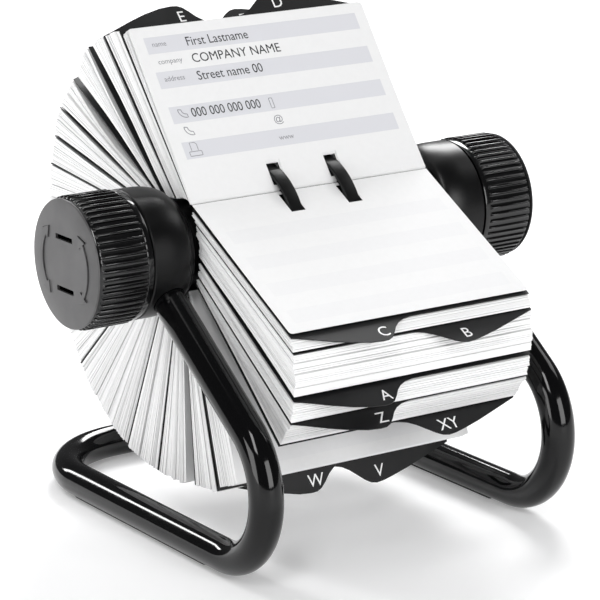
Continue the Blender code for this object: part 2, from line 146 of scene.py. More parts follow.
# A card's place on the wheel: the direction it points in (degrees: 0 front, 90 up,
# 180 back), how far its plane passes from the axle, and how far along its lower edge is.
CONTACT_CARD = (126.7, -0.02262, 0.00726)
FACING_CARD = (331.6, 0.02314, 0.00430)
REGISTER = (
    ("D", "right", (130.0, -0.0219, 0.0076)),
    ("E", "left", (133.1, -0.0150, 0.0119)),
    ("F", "right", (137.6, -0.0096, 0.0152)),
    ("G", "left", (150.8, -0.0108, 0.0146)),
    ("H", "right", (160.7, -0.0100, 0.0179)),
    ("IJ", "left", (168.1, -0.0087, 0.0182)),
    ("KL", "right", (174.5, -0.0068, 0.0195)),
    ("M", "left", (190.0, -0.0050, 0.0205)),
    ("NO", "right", (206.0, -0.0035, 0.0213)),
    ("PQ", "left", (221.8, -0.0023, 0.0220)),
    ("R", "right", (245.6, 0.0019, 0.0211)),
    ("S", "left", (256.5, 0.0071, 0.0185)),
    ("TU", "inner", (274.0, 0.0065, 0.0170)),
    ("V", "right", (284.9, 0.0051, 0.0189)),
    ("W", "inner", (285.2, 0.0062, 0.0173)),
    ("XY", "right", (318.4, 0.0026, 0.0192)),
    ("Z", "left", (325.8, 0.0035, 0.0195)),
    ("A", "left", (328.0, 0.0087, 0.0169)),
    ("B", "right", (331.5, 0.0183, 0.0093)),
    ("C", "left", (332.3, 0.0215, 0.0056)),
)
# A pile that has sagged away from the next divider: the place of its last card.
LOOSE_END = {"W": (295.0, 0.0055, 0.0180)}
# Each pack between two dividers: how many cards, the shares of the wedge left open
# before and after them, and how far the cards there belly away from the divider.
PACKS = {
    "D": (22, 0.00, 0.05, 0.0, 0.0006), "E": (22, 0.03, 0.15, 0.0006, 0.0012),
    "F": (30, 0.04, 0.12, 0.0016, 0.0012), "G": (28, 0.04, 0.06, 0.0030, 0.0006),
    "H": (24, 0.02, 0.04, 0.0006, 0.0003), "IJ": (22, 0.03, 0.01, 0.0004, 0.0),
    "KL": (44, 0.01, 0.01, 0.0, 0.0), "M": (46, 0.01, 0.01, 0.0, 0.0),
    "NO": (46, 0.01, 0.01, 0.0, 0.0), "PQ": (74, 0.00, 0.01, 0.0, 0.0),
    "R": (36, 0.01, 0.02, 0.0, 0.0), "S": (36, 0.03, 0.24, 0.0003, 0.0),
    "TU": (26, 0.00, 0.03, 0.0, 0.0), "W": (28, 0.01, 0.00, 0.0, -0.0030),
    "XY": (22, 0.05, 0.05, 0.0004, 0.0), "Z": (20, 0.05, 0.05, 0.0, 0.0004),
    "A": (28, 0.08, 0.03, 0.0006, 0.0), "B": (12, 0.12, 0.05, 0.0, 0.0),
}

# The leaves behind the contact card: share of the way to the first divider, and how
# much lower than on a straight line between the two they hang.
LEAVES_BEHIND_CONTACT = ((0.14, 0.0008), (0.26, 0.0012), (0.40, 0.0016), (0.55, 0.0012),
                         (0.62, 0.0017), (0.80, 0.0014))

# The view: where the camera stands from the axle, and its turn, tilt and roll.
CAMERA_PLACE = Vector((-0.60137, -0.91693, 0.26206))
CAMERA_TURN = radians(-33.49)
CAMERA_TILT = radians(14.76)
CAMERA_ROLL = -0.011
LIGHTS_AIM = Vector((0, 0, 0.1))
FLOOR_SIZE = 18.0
FLOOR_GLOW = 0.22
GLOW_GROWS = (1.0, 2.2)       # the floor glows more from here, and fully from there

SIDES = (("left", -1), ("right", 1))
dice = random.Random(8)


# --- camera, floor and light ----------------------------------------------------------
def add_camera():
    across = cos(CAMERA_TILT)
    back = Vector((sin(CAMERA_TURN) * across, -cos(CAMERA_TURN) * across, sin(CAMERA_TILT)))
    right = Vector((0, 0, 1)).cross(back).normalized()
    up = back.cross(right)
    rolled_right = right * cos(CAMERA_ROLL) + up * sin(CAMERA_ROLL)
    rolled_up = up * cos(CAMERA_ROLL) - right * sin(CAMERA_ROLL)
    lens = bpy.data.cameras.new("camera")
    lens.lens = 180.15
    lens.sensor_width = 36
    lens.shift_x = -0.00538
    lens.shift_y = -0.00625
    lens.clip_end = 50
    camera = as_object("camera", lens)
    axes = Matrix((rolled_right, rolled_up, back)).transposed().to_4x4()
    camera.matrix_world = Matrix.Translation(AXLE + CAMERA_PLACE) @ axes
    bpy.context.scene.camera = camera


def add_light(name, place, size, power, height=None):
    """A rectangular lamp that faces the object; power in watts."""
    lamp = bpy.data.lights.new(name, "AREA")
    lamp.shape = "RECTANGLE"
    lamp.size = size
    lamp.size_y = height or size
    lamp.energy = power
    made = as_object(name, lamp)
    made.location = place
    made.rotation_euler = (LIGHTS_AIM - Vector(place)).to_track_quat("-Z", "Y").to_euler()


def add_studio():
    scene = bpy.context.scene
    scene.view_settings.view_transform = "Standard"
    world = bpy.data.worlds.new("studio")
    scene.world = world
    world.use_nodes = True
    sky = world.node_tree.nodes["Background"]
    sky.inputs["Color"].default_value = (0.98, 0.99, 1.0, 1.0)
    sky.inputs["Strength"].default_value = 0.10
    add_light("overhead", (-0.1, 0.55, 1.35), 1.3, 5)
    add_light("behind", (-0.45, 1.24, 0.87), 0.16, 9, 0.9)
    add_light("right_rear", (0.8, 0.86, 1.04), 0.6, 17)
    add_light("right_side", (1.1, -0.15, 1.05), 0.6, 2.5, 0.5)
    add_light("key", (-0.8, -0.75, 1.2), 0.3, 6.5, 0.7)
    add_light("left", (-1.7, -0.25, 0.4), 0.8, 10)
    add_light("front", (0.15, -1.5, 0.5), 0.8, 11.5)


def add_floor():
    """A plain pale floor that glows more with distance, so that it ends white."""
    shape = bmesh.new()
    bmesh.ops.create_grid(shape, x_segments=1, y_segments=1, size=FLOOR_SIZE / 2)
    mesh = as_mesh("floor", shape)
    mesh.materials.append(floor_paint())
    as_object("floor", mesh)


# --- materials ------------------------------------------------------------------------
class Look:
    """A Principled material with short ways to add procedural detail."""

    def __init__(self, name, colour, roughness, metallic=0.0, **sockets):
        self.material = bpy.data.materials.new(name)
        self.material.use_nodes = True
        self.tree = self.material.node_tree
        self.shader = self.tree.nodes["Principled BSDF"]
        self.shader.inputs["Base Color"].default_value = (*colour, 1)
        self.shader.inputs["Roughness"].default_value = roughness
        self.shader.inputs["Metallic"].default_value = metallic
        for socket, value in sockets.items():
            self.shader.inputs[socket.replace("_", " ")].default_value = value
        self.place = self.node("ShaderNodeTexCoord").outputs["Object"]

    def node(self, kind, **settings):
        made = self.tree.nodes.new(kind)
        for key, value in settings.items():
            setattr(made, key, value)
        return made

    def link(self, source, target):
        self.tree.links.new(source, target)

    def noise(self, scale, detail=2.0, stretch=(1, 1, 1)):
        mapping = self.node("ShaderNodeMapping")
        mapping.inputs["Scale"].default_value = stretch
        self.link(self.place, mapping.inputs["Vector"])
        texture = self.node("ShaderNodeTexNoise")
        texture.inputs["Scale"].default_value = scale
        texture.inputs["Detail"].default_value = detail
        self.link(mapping.outputs["Vector"], texture.inputs["Vector"])
        return texture.outputs["Fac"]

    def spread(self, factor, low, high, span=(0.3, 0.7), **settings):
        """Send the span, by default where a noise has its values, to low..high."""
        ramp = self.node("ShaderNodeMapRange", **settings)
        ramp.inputs["From Min"].default_value = span[0]
        ramp.inputs["From Max"].default_value = span[1]
        ramp.inputs["To Min"].default_value = low
        ramp.inputs["To Max"].default_value = high
        self.link(factor, ramp.inputs["Value"])
        return ramp.outputs["Result"]

    def maths(self, first, second, how):
        maths = self.node("ShaderNodeMath", operation=how)
        for socket, value in zip(maths.inputs, (first, second)):
            if isinstance(value, (int, float)):
                socket.default_value = value
            else:
                self.link(value, socket)
        return maths.outputs["Value"]

    def mix(self, factor, first, second):
        mixer = self.node("ShaderNodeMix", data_type="RGBA")
        for number, value in ((0, factor), (6, first), (7, second)):
            socket = mixer.inputs[number]
            if isinstance(value, tuple):
                socket.default_value = (*value, 1)
            elif isinstance(value, (int, float)):
                socket.default_value = value
            else:
                self.link(value, socket)
        return mixer.outputs[2]

    def colour(self, source):
        self.link(source, self.shader.inputs["Base Color"])

    def rough(self, factor, low, high):
        self.link(self.spread(factor, low, high), self.shader.inputs["Roughness"])

    def bump(self, height, distance, strength=1.0):
        bump = self.node("ShaderNodeBump")
        bump.inputs["Distance"].default_value = distance
        bump.inputs["Strength"].default_value = strength
        self.link(height, bump.inputs["Height"])
        self.link(bump.outputs["Normal"], self.shader.inputs["Normal"])


def floor_paint():
    """Matt white whose glow grows with the distance from the floor's middle."""
    look = Look("floor_paint", (0.86, 0.86, 0.865), 0.6, Specular_IOR_Level=0.2,
                Emission_Color=(1, 1, 1, 1))
    reach = look.node("ShaderNodeVectorMath", operation="LENGTH")
    look.link(look.place, reach.inputs[0])
    glow = look.spread(reach.outputs["Value"], FLOOR_GLOW, 1.0, GLOW_GROWS,
                       interpolation_type="SMOOTHSTEP")
    look.link(glow, look.shader.inputs["Emission Strength"])
    return look.material


def gloss_paint():
    """Smooth enamel on the tube."""
    look = Look("gloss_black_paint", (0.0015, 0.0015, 0.0018), 0.1, Specular_IOR_Level=0.3,
                Coat_Weight=0.1, Coat_Roughness=0.03)
    look.rough(look.noise(60, 4), 0.07, 0.12)
    look.bump(look.noise(700, 1), 0.00002, 0.5)
    return look.material


def grained_plastic(name, colour, low, high, grain, depth, shine=0.5, coat=0.0):
    """Moulded plastic with a fine spark-eroded grain and slightly uneven gloss."""
    look = Look(name, colour, low, Specular_IOR_Level=shine, Coat_Weight=coat, Coat_Roughness=0.08)
    lighter = tuple(channel * 1.5 + 0.001 for channel in colour)
    look.colour(look.mix(look.spread(look.noise(90, 5), 0.0, 1.0), colour, lighter))
    look.rough(look.noise(45, 4), low, high)
    look.bump(look.noise(grain, 2), depth, 0.6)
    return look.material


def steel():
    """Steel with the fine lines that turning leaves round it."""
    look = Look("turned_steel", (0.56, 0.57, 0.58), 0.28, 1.0)
    look.rough(look.noise(40, 3, (30, 1, 1)), 0.2, 0.4)
    look.bump(look.noise(60, 2, (40, 1, 1)), 0.00001, 0.4)
    return look.material


def mottled(name, dark, light, roughness, clouds, grain, depth, strength):
    """A matt material that wanders between two tones, with a fine grain."""
    look = Look(name, dark, roughness)
    look.colour(look.mix(look.noise(*clouds), dark, light))
    look.bump(look.noise(grain, 2), depth, strength)
    return look.material


PAPER = (0.82, 0.82, 0.822)
# The cut edges get a lighter white than the faces of the same paper: painted light, so that the
# packs' edges look as brightly lit as the card faces.
EDGE_PAPER_PAINTED_LIGHT = (0.93, 0.93, 0.93)
PRINT_GREY = (0.655, 0.658, 0.69)
BAND_TOP = 0.0675             # the first band's top edge, from the card's lower edge
BAND_PITCH = 0.01465
BAND_SHARE = 0.478            # how much of the pitch is grey
BAND_FLOOR = 0.0155           # no band lies below this
BAND_HALF = 0.0472            # half the bands' length


def paper(name, white, print_strength):
    """Card stock with a fibre texture, a slightly different tone on each leaf, and the
    grey rows of the form at the given strength. UV holds metres across and up the card."""
    look = Look(name, white, 0.55, Specular_IOR_Level=0.35)
    tone = look.node("ShaderNodeNewGeometry").outputs["Random Per Island"]
    fibre = look.noise(420, 5)
    darker = tuple(channel * 0.91 for channel in white)
    lighter = tuple(min(channel * 1.02, 0.94) for channel in white)
    tinted = look.mix(tone, darker, lighter)
    base = look.mix(look.spread(fibre, 0.0, 0.3), tinted, darker)
    if print_strength:
        uv = look.node("ShaderNodeTexCoord").outputs["UV"]
        split = look.node("ShaderNodeSeparateXYZ")
        look.link(uv, split.inputs["Vector"])
        across = look.maths(split.outputs["X"], 0.0, "ABSOLUTE")
        up = split.outputs["Y"]
        down = look.maths(look.maths(BAND_TOP, up, "SUBTRACT"), BAND_PITCH, "DIVIDE")
        row = look.maths(look.maths(down, 1.0, "FLOORED_MODULO"), BAND_SHARE, "LESS_THAN")
        band = row
        for limit in (look.maths(across, BAND_HALF, "LESS_THAN"),
                      look.maths(up, BAND_FLOOR, "GREATER_THAN"),
                      look.maths(up, BAND_TOP, "LESS_THAN")):
            band = look.maths(band, limit, "MULTIPLY")
        base = look.mix(look.maths(band, print_strength, "MULTIPLY"), base, PRINT_GREY)
    look.colour(base)
    look.bump(fibre, 0.00003, 0.25)
    return look.material


def ink(name, colour):
    """Print that lies a little unevenly on the card."""
    look = Look(name, colour, 0.5)
    lighter = tuple(min(1.0, channel * 1.15 + 0.01) for channel in colour)
    look.colour(look.mix(look.noise(2500, 2), colour, lighter))
    return look.material


BLACK = (0.0012, 0.0012, 0.0014)
GLOSS_PAINT = gloss_paint()
HOUSING = grained_plastic("satin_black_housing", BLACK, 0.28, 0.38, 2600, 0.00003, shine=0.25)
KNOB = grained_plastic("gloss_black_knob", BLACK, 0.12, 0.18, 1500, 0.000003, shine=0.35, coat=0.4)
DISC = grained_plastic("satin_grey_disc", (0.052, 0.051, 0.052), 0.30, 0.38, 2600, 0.00002)
DIVIDER = grained_plastic("black_divider_film", (0.0045, 0.0045, 0.005), 0.36, 0.48, 1900,
                          0.00002, shine=0.35)
STEEL = steel()
RUBBER = mottled("black_rubber", (0.012, 0.012, 0.012), (0.030, 0.030, 0.029), 0.75, (120, 4),
                 1800, 0.00004, 0.6)
NYLON = mottled("natural_nylon", (0.62, 0.60, 0.54), (0.70, 0.68, 0.62), 0.45, (70, 3),
                900, 0.00002, 0.4)
CARD_FRONT = paper("card_printed_face", PAPER, 1.0)
CARD_BACK = paper("card_plain_face", PAPER, 0.16)
# The cut edges' lighter white is painted light.
CARD_EDGE_PAINTED_LIGHT = paper("card_cut_edge_painted_light", EDGE_PAPER_PAINTED_LIGHT, 0.0)
WHITE_INK = ink("white_ink", (0.82, 0.82, 0.82))
DARK_INK = ink("dark_ink", (0.012, 0.012, 0.014))
GREY_INK = ink("grey_ink", (0.23, 0.23, 0.25))


# --- meshes ---------------------------------------------------------------------------
def as_object(name, data):
    made = bpy.data.objects.new(name, data)
    bpy.context.collection.objects.link(made)
    return made


def as_mesh(name, shape):
    """Turn a bmesh into a mesh, its faces outward."""
    bmesh.ops.recalc_face_normals(shape, faces=shape.faces)
    mesh = bpy.data.meshes.new(name)
    shape.to_mesh(mesh)
    shape.free()
    return mesh


def smooth(mesh, below):
    """Shade a mesh smooth, but for edges that turn more than this many degrees."""
    mesh.shade_smooth()
    mesh.set_sharp_from_angle(angle=radians(below))


def piece(name, shape, body, node=None, look=None, smooth_below=None):
    """Turn a bmesh into a piece that rides on a body and stands for a CAD node."""
    mesh = as_mesh(name, shape)
    if smooth_below:
        smooth(mesh, smooth_below)
    mesh.materials.append(look)
    return mesh_piece(name, mesh, body, node)


def mesh_piece(name, mesh, body, node):
    made = as_object(name, mesh)
    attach(made, body)
    if node:
        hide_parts(node)
    return made


def cut_out(target, shapes):
    """Take each bmesh shape out of a piece, for good."""
    for shape in shapes:
        cutter = as_object("cutter", as_mesh("cutter", shape))
        boolean = target.modifiers.new("cut", "BOOLEAN")
        boolean.operation = "DIFFERENCE"
        boolean.solver = "EXACT"
        boolean.object = cutter
        bpy.context.view_layer.update()
        sight = bpy.context.evaluated_depsgraph_get()
        result = bpy.data.meshes.new_from_object(target.evaluated_get(sight))
        target.modifiers.clear()
        target.data = result
        bpy.data.objects.remove(cutter)


def join_loops(shape, loops, cyclic):
    """Skin a run of vertex loops, each as long as the next or a single point."""
    pairs = list(zip(loops, loops[1:] + loops[:1]))
    for first, second in pairs if cyclic else pairs[:-1]:
        count = max(len(first), len(second))
        for i in range(count):
            j = (i + 1) % count
            if len(first) == 1 and len(second) > 1:
                shape.faces.new((first[0], second[j], second[i]))
            elif len(second) == 1 and len(first) > 1:
                shape.faces.new((first[i], first[j], second[0]))
            elif len(first) > 1:
                shape.faces.new((first[i], first[j], second[j], second[i]))


def turned(profile, segments, side=1):
    """A solid of revolution about the axle; the profile is a closed run of (x, radius)."""
    shape = bmesh.new()
    loops = []
    for x, radius in profile:
        if radius == 0:
            loops.append([shape.verts.new(AXLE + Vector((side * x, 0, 0)))])
            continue
        turns = [2 * pi * k / segments for k in range(segments)]
        spokes = [Vector((side * x, radius * cos(a), radius * sin(a))) for a in turns]
        loops.append([shape.verts.new(AXLE + spoke) for spoke in spokes])
    join_loops(shape, loops, cyclic=True)
    return shape


def add_loft(shape, sections):
    """A closed skin through sections of (x, y, z) points from the axle's middle."""
    loops = [[shape.verts.new(AXLE + Vector(point)) for point in points] for points in sections]
    join_loops(shape, loops, cyclic=False)
    shape.faces.new(loops[0])
    shape.faces.new(loops[-1])


def lofted(sections):
    shape = bmesh.new()
    add_loft(shape, sections)
    return shape


def quarter(steps):
    """The (sine, cosine) of each step of a quarter turn, without its start."""
    return [(sin(pi / 2 * k / steps), cos(pi / 2 * k / steps)) for k in range(1, steps + 1)]


def rounded(points, radius, steps=4):
    """Round the corners of a closed outline of 2-D points."""
    result = []
    count = len(points)
    for i in range(count):
        here = Vector(points[i])
        before = Vector(points[i - 1]) - here
        after = Vector(points[(i + 1) % count]) - here
        if before.length < 1e-9 or after.length < 1e-9 or abs(before.angle(after) - pi) < 0.02:
            result.append(tuple(here))
            continue
        reach = min(radius, before.length * 0.45, after.length * 0.45)
        start = here + before.normalized() * reach
        end = here + after.normalized() * reach
        for k in range(steps + 1):
            t = k / steps
            point = start * (1 - t) ** 2 + here * 2 * t * (1 - t) + end * t * t
            result.append(tuple(point))
    return result


# --- stand ----------------------------------------------------------------------------
def arc_points(centre, start, end, turn, steps):
    """Points on the arc round the centre from start to end."""
    first = start - centre
    last = end - centre
    points = []
    for k in range(steps + 1):
        share = k / steps
        weight_a = sin((1 - share) * turn) / sin(turn)
        weight_b = sin(share * turn) / sin(turn)
        points.append(centre + first * weight_a + last * weight_b)
    return points


def run_points(start, end, steps):
    """Points between start and end, without either."""
    return [start.lerp(end, k / steps) for k in range(1, steps)]


def frame_side(side):
    """The centreline of one arm, its bend, the floor run and the rear bend."""
    x = side * SIDE_X
    top = Vector((x, *ARM_TOP))
    foot = Vector((x, *ARM_FOOT))
    arm = (top - foot).normalized()
    back = Vector((0, 1, 0))
    inside = acos(arm.dot(back))
    reach = FRONT_BEND / tan(inside / 2)
    centre = foot + back * reach + Vector((0, 0, FRONT_BEND))
    front = arc_points(centre, foot + arm * reach, foot + back * reach, pi - inside, 40)
    corner = Vector((x, CROSSBAR_Y, ARM_FOOT[1]))
    across = Vector((-side, 0, 0))
    centre = corner - back * REAR_BEND + across * REAR_BEND
    rear = arc_points(centre, corner - back * REAR_BEND, corner + across * REAR_BEND, pi / 2, 24)
    top_end = top - arm * ARM_CUT
    floor_run = run_points(front[-1], rear[0], 10)
    return [top_end] + run_points(top_end, front[0], 8) + front + floor_run + rear


def add_frame():
    """The hollow tube, swept along its path from one housing to the other."""
    left = frame_side(-1)
    right = frame_side(1)[::-1]
    path = left + run_points(left[-1], right[0], 8) + right
    sides = 40
    bore = TUBE_RADIUS - TUBE_WALL
    across = Vector((1, 0, 0))
    tangents = []
    for i in range(len(path)):
        tangents.append((path[min(i + 1, len(path) - 1)] - path[max(i - 1, 0)]).normalized())
    shape = bmesh.new()
    outer = []
    inner = []
    for i, (centre, tangent) in enumerate(zip(path, tangents)):
        if i:
            across.rotate(tangents[i - 1].rotation_difference(tangent))
        over = tangent.cross(across)
        spokes = []
        for k in range(sides):
            turn = 2 * pi * k / sides
            spokes.append(across * cos(turn) + over * sin(turn))
        outer.append([shape.verts.new(AXLE + centre + TUBE_RADIUS * spoke) for spoke in spokes])
        inner.append([shape.verts.new(AXLE + centre + bore * spoke) for spoke in spokes])
    join_loops(shape, outer + inner[::-1], cyclic=True)
    piece("bent_tube", shape, "stand", "tube_frame", GLOSS_PAINT, 60)


def add_glides():
    """Clasping strips with rounded edges and sloping ends."""
    tube_z = ARM_FOOT[1]
    hug = TUBE_RADIUS + GLIDE_PLAY
    ends = ((0, 0.0003), (0.0006, 0.0001), (0.0014, 0.0))
    for name, side in SIDES:
        low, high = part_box(name + "_floor_glide")
        front = low[1] - AXLE_Y
        back = high[1] - AXLE_Y
        places = [(front + inset, lift) for inset, lift in ends] + [((front + back) / 2, 0.0)]
        places += [(back - inset, lift) for inset, lift in ends[::-1]]
        sections = []
        for y, lift in places:
            floor = -AXLE_HEIGHT + lift
            half = GLIDE_HALF_WIDTH - lift * 0.5
            outline = [(-half + GLIDE_EDGE, floor), (half - GLIDE_EDGE, floor),
                       (half, floor + BURR)]
            for k in range(9):
                lean = radians(GLIDE_CLASP * (1 - k / 4))
                outline.append((hug * sin(lean), tube_z - hug * cos(lean)))
            outline.append((-half, floor + BURR))
            sections.append([(side * SIDE_X + x, y, z) for x, z in outline])
        piece(name + "_strip", lofted(sections), "stand", name + "_floor_glide",
              RUBBER, 40)


def dome_profile():
    """The housing's outline: a straight collar that curves in to a small end flange."""
    bevel = 0.0004
    points = [(HOUSING_OUTER, HOUSING_BORE), (HOUSING_OUTER, HOUSING_RADIUS - bevel),
              (HOUSING_OUTER - bevel, HOUSING_RADIUS)]
    for k in range(13):
        turn = radians(DOME_TURN * k / 12)
        points.append((DOME_CENTRE[0] - DOME_REACH[0] * sin(turn),
                       DOME_CENTRE[1] + DOME_REACH[1] * cos(turn)))
    # The flange: a small step down, and a rounded edge towards the cards.
    points += [(0.0561, 0.0208), (0.0559, 0.0203), (0.0548, 0.0200), (0.0541, 0.0194),
               (HOUSING_INNER, 0.0188), (HOUSING_INNER, HOUSING_BORE)]
    return points


def add_housing(name, side):
    """A domed shell with the tube's socket bored into it."""
    housing = piece(
        name + "_housing_shell", turned(dome_profile(), 128, side), "stand",
        name + "_bearing_housing", HOUSING,
    )
    arm = (Vector((0, *ARM_TOP)) - Vector((0, *ARM_FOOT))).normalized()
    near = Vector((side * SIDE_X, *ARM_TOP)) - arm * (ARM_CUT - GAP)
    over = arm.cross(Vector((1, 0, 0)))
    sections = []
    for centre in (near, near - arm * SOCKET_DEPTH):
        loop = []
        for k in range(48):
            turn = 2 * pi * k / 48
            spoke = Vector((1, 0, 0)) * cos(turn) + over * sin(turn)
            loop.append(centre + spoke * (TUBE_RADIUS + SOCKET_PLAY))
        sections.append(loop)
    cut_out(housing, [lofted(sections)])
    smooth(housing.data, 32)


# --- wheel ----------------------------------------------------------------------------
def add_rings():
    """T-section rings with rounded rims."""
    under_rim = RIM_RADIUS - RIM_DEPTH
    half = RIM_HALF_WIDTH
    profile = [(-WEB_HALF_WIDTH, DRUM_RADIUS + GAP), (-WEB_HALF_WIDTH, under_rim),
               (-half + BURR, under_rim), (-half, under_rim + BURR),
               (-half, RIM_RADIUS - SOFT_EDGE)]
    profile += [(-half + SOFT_EDGE * (1 - cosine), RIM_RADIUS - SOFT_EDGE * (1 - sine))
                for sine, cosine in quarter(5)]
    profile += [(-x, radius) for x, radius in profile[::-1]]
    for name, side in SIDES:
        placed = [(side * RING_X + x, radius) for x, radius in profile]
        piece(name + "_ring", turned(placed, 144), "card_wheel", name + "_card_ring",
              HOUSING, 32)


def add_drum():
    """The hollow core between the housings."""
    half = [(DRUM_END - SOFT_EDGE, DRUM_RADIUS), (DRUM_END, DRUM_RADIUS - SOFT_EDGE),
            (DRUM_END, DRUM_BORE), (DRUM_END - DRUM_WALL, DRUM_BORE),
            (DRUM_END - DRUM_WALL, DRUM_RADIUS - DRUM_WALL)]
    profile = half + [(-x, radius) for x, radius in half[::-1]]
    piece("drum_shell", turned(profile, 96), "card_wheel", "core_drum",
          HOUSING, 32)


# One rib's section: share of the pitch, share of the height.
RIB_PROFILE = ((0.00, 0.0), (0.20, 0.0), (0.28, 0.10), (0.33, 0.55), (0.39, 0.90), (0.46, 1.0),
               (0.54, 1.0), (0.61, 0.90), (0.67, 0.55), (0.72, 0.10), (0.80, 0.0))


def ribbed_loop(x, low, rise):
    """The knob's outline at x, with ribs that rise this far over the low radius."""
    points = []
    for k in range(RIB_COUNT):
        for share, height in RIB_PROFILE:
            turn = 2 * pi * (k + share) / RIB_COUNT
            radius = low + rise * height
            points.append((x, radius * cos(turn), radius * sin(turn)))
    return points


def add_knob(name, side):
    """A ribbed cup with a smooth collar, hollow towards the disc and the housing."""
    low = KNOB_RADIUS - RIB_DEPTH
    # Each section along the knob: x, the radius between the ribs, and their height.
    sections = (
        (KNOB_INNER, COLLAR_RADIUS - 0.0005, 0), (KNOB_INNER + 0.0002, COLLAR_RADIUS - 0.0001, 0),
        (KNOB_INNER + 0.0005, COLLAR_RADIUS, 0), (COLLAR_END - 0.0002, COLLAR_RADIUS, 0),
        (COLLAR_END, COLLAR_RADIUS - 0.0002, 0.0), (COLLAR_END + 0.0001, low, 0.0002),
        (COLLAR_END + 0.0004, low, RIB_DEPTH - 0.0003), (COLLAR_END + 0.0010, low, RIB_DEPTH),
        (KNOB_OUTER - 0.0022, low, RIB_DEPTH), (KNOB_OUTER - 0.0016, low, RIB_DEPTH - 0.0002),
        (KNOB_OUTER - 0.0011, low, RIB_DEPTH - 0.0007), (KNOB_OUTER - 0.0009, low, 0.0),
        (KNOB_OUTER - 0.0005, low - 0.0001, 0.0), (KNOB_OUTER - 0.0001, low - 0.0004, 0.0),
        (KNOB_OUTER, low - 0.0008, 0.0),
    )
    loops = [ribbed_loop(side * x, radius, rise) for x, radius, rise in sections]
    knob = piece(name + "_knob_shell", lofted(loops), "card_wheel", name + "_knob",
                 KNOB)
    past_face = KNOB_OUTER + 0.005
    past_back = KNOB_INNER - 0.005
    past_floor = KNOB_FLOOR + 0.001
    inner, outer = BACK_RECESS
    recess = ((KNOB_FLOOR, 0), (KNOB_FLOOR, KNOB_RECESS), (past_face, KNOB_RECESS), (past_face, 0))
    behind = ((past_back, inner), (past_back, outer), (BACK_FLOOR, outer), (BACK_FLOOR, inner))
    bore = ((past_back, 0), (past_back, AXLE_HOLE), (AXLE_HOLE_END, AXLE_HOLE),
            (AXLE_HOLE_END, SCREW_HOLE), (past_floor, SCREW_HOLE), (past_floor, 0))
    cut_out(knob, [turned(profile, 64, side) for profile in (recess, behind, bore)])
    smooth(knob.data, 38)


def add_disc(name, side):
    """End disc with a crowned face, a soft edge, a spigot and two snap slots."""
    back = KNOB_OUTER + GAP
    spigot = KNOB_RECESS - GAP
    crown_run = DISC_RADIUS - SOFT_EDGE - DISC_FLAT
    profile = [(DISC_FACE, 0), (DISC_FACE, DISC_FLAT)]
    profile += [(DISC_FACE - DISC_CROWN * (k / 8) ** 2, DISC_FLAT + crown_run * k / 8)
                for k in range(1, 9)]
    profile += [(DISC_FACE - DISC_CROWN - SOFT_EDGE * (1 - cosine),
                 DISC_RADIUS - SOFT_EDGE * (1 - sine)) for sine, cosine in quarter(6)]
    profile += [(back, DISC_RADIUS), (back, spigot), (SPIGOT_END, spigot),
                (SPIGOT_END, spigot - SPIGOT_WALL), (back, spigot - SPIGOT_WALL), (back, 0)]
    disc = piece(name + "_disc_plate", turned(profile, 128, side), "card_wheel",
                 name + "_knob_disc", DISC)
    cutters = []
    for height in (SLOT_OFFSET, -SLOT_OFFSET):
        corners = [(j * SLOT_LENGTH / 2, k * SLOT_WIDTH / 2)
                   for j, k in ((-1, -1), (1, -1), (1, 1), (-1, 1))]
        outline = rounded(corners, SLOT_CORNER)
        cutters.append(lofted([[(side * x, y, height + z) for y, z in outline]
                               for x in (back - 0.006, DISC_FACE + 0.003)]))
    cut_out(disc, cutters)
    smooth(disc.data, 32)


def arrow_outline(widen):
    """A curved arrow with a head at each end, as (radius, degrees) points. A rim's outline
    is widened, and a chamfer's is narrowed."""
    half = ARROW_HALF_WIDTH + widen
    head = ARROW_HEAD_HALF_WIDTH + widen * 0.9
    point = -widen * ARROW_POINT_GAIN
    first = ARROW_HEAD_TURN - widen * ARROW_BACK_GAIN
    last = ARROW_TURN - first
    shaft = [first + (last - first) * k / 16 for k in range(17)]
    points = [(ARROW_RADIUS, point), (ARROW_RADIUS + head, first)]
    points += [(ARROW_RADIUS + half, turn) for turn in shaft]
    points += [(ARROW_RADIUS + head, last), (ARROW_RADIUS, ARROW_TURN - point),
               (ARROW_RADIUS - head, last)]
    points += [(ARROW_RADIUS - half, turn) for turn in shaft[::-1]]
    points.append((ARROW_RADIUS - head, first))
    return points


def add_arrows(name, side):
    """Two raised double-headed arrows that show which ways the wheel turns, and under each
    a thin black rim, a little wider than the arrow, that is painted shade for the shadow along its
    raised edges."""
    chamfer = 0.0001
    # First the black rim of painted shade, then the raised arrows in the disc's grey.
    for part, look, height, widen in (("outlines", KNOB, ARROW_SHADE_RIM_HEIGHT, ARROW_SHADE_RIM_WIDTH),
                                      ("arrows", DISC, ARROW_HEIGHT, 0)):
        shape = bmesh.new()
        for start in (ARROW_START, ARROW_START + 180):
            sections = []
            for rise, inset in ((-ARROW_BASE, 0), (height - chamfer, 0), (height, chamfer)):
                x = side * (DISC_FACE + rise)
                turns = [(radius, radians(start + turn))
                         for radius, turn in arrow_outline(widen - inset)]
                sections.append([(x, radius * cos(a), radius * sin(a)) for radius, a in turns])
            add_loft(shape, sections)
        piece(name + "_turning_" + part, shape, "card_wheel", None, look)


# --- cards ----------------------------------------------------------------------------
def direction(degrees):
    """Unit vector square to the axle: 0 points to the front, 90 up, 180 to the back."""
    return Vector((0, -cos(radians(degrees)), sin(radians(degrees))))


def on_card(place, x, along, lift=0.0):
    """The point on a card at this place, along it from its lower edge and off its plane."""
    angle, offset, edge = place
    point = direction(angle) * (edge + along) + direction(angle + 90) * (offset + lift)
    return AXLE + Vector((x, point.y, point.z))


def blend(first, second, share):
    """The place that lies this share of the way from the first place to the second."""
    return tuple(a + (b - a) * share for a, b in zip(first, second))


